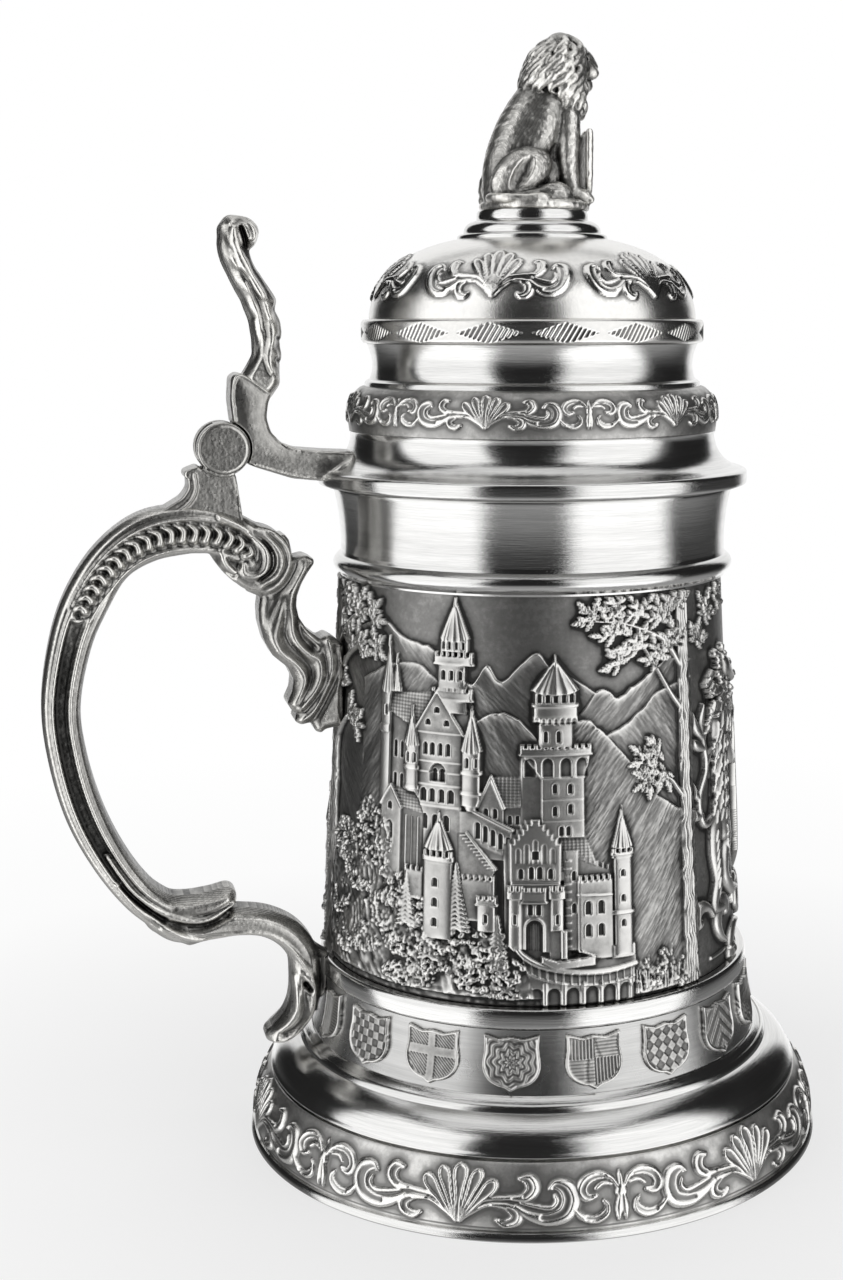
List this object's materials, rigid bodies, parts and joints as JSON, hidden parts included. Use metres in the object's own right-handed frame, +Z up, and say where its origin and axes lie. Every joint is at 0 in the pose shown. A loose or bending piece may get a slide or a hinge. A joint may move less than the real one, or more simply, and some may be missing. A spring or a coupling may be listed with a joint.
{
  "type": "lidded tankard",
  "caption": "Tall tapered pewter tankard on a flared foot, with a relief barrel, a scrolled side handle and a hinged domed lid topped by a seated lion.",
  "frame": {"origin": "on the body's axis at the underside of the foot", "axes": "+Z up along the body's axis, handle and hinge on the -X side, hinge pin along Y"},
  "size_m": [0.1641, 0.124, 0.2313],
  "materials": {
    "turned_pewter": "bright pewter, turned on a lathe, with fine circular lines",
    "antiqued_pewter": "cast relief pewter, dark in the recesses and polished on the high points",
    "cast_pewter": "warm grey cast pewter, softly polished",
    "steel": "plain steel"
  },
  "bodies": {
    "vessel": {"base_plate": "cast_pewter", "foot": "turned_pewter", "shield_band": "turned_pewter", "shields": "antiqued_pewter", "vessel_floor": "turned_pewter", "belt_ring": "turned_pewter", "barrel": "antiqued_pewter", "rim_collar": "turned_pewter", "handle": "cast_pewter", "hinge_lug": "cast_pewter", "hinge_pin": "steel", "pin_caps": "cast_pewter"},
    "lid": {"lid_strap": "cast_pewter", "thumb_rest": "antiqued_pewter", "lid_flange": "turned_pewter", "lid_skirt": "turned_pewter", "lid_relief_band": "antiqued_pewter", "lid_neck": "turned_pewter", "lozenge_band": "turned_pewter", "lid_dome": "turned_pewter", "finial_pedestal": "turned_pewter", "lion": "antiqued_pewter", "finial_screw": "steel", "finial_washer": "steel"}
  },
  "joints": [
    {"name": "lid_hinge", "type": "hinge", "parent": "vessel", "child": "lid", "pos_m": [-0.0647, 0, 0.1484], "axis": [0, -1, 0], "range_deg": [0, 105]}
  ]
}
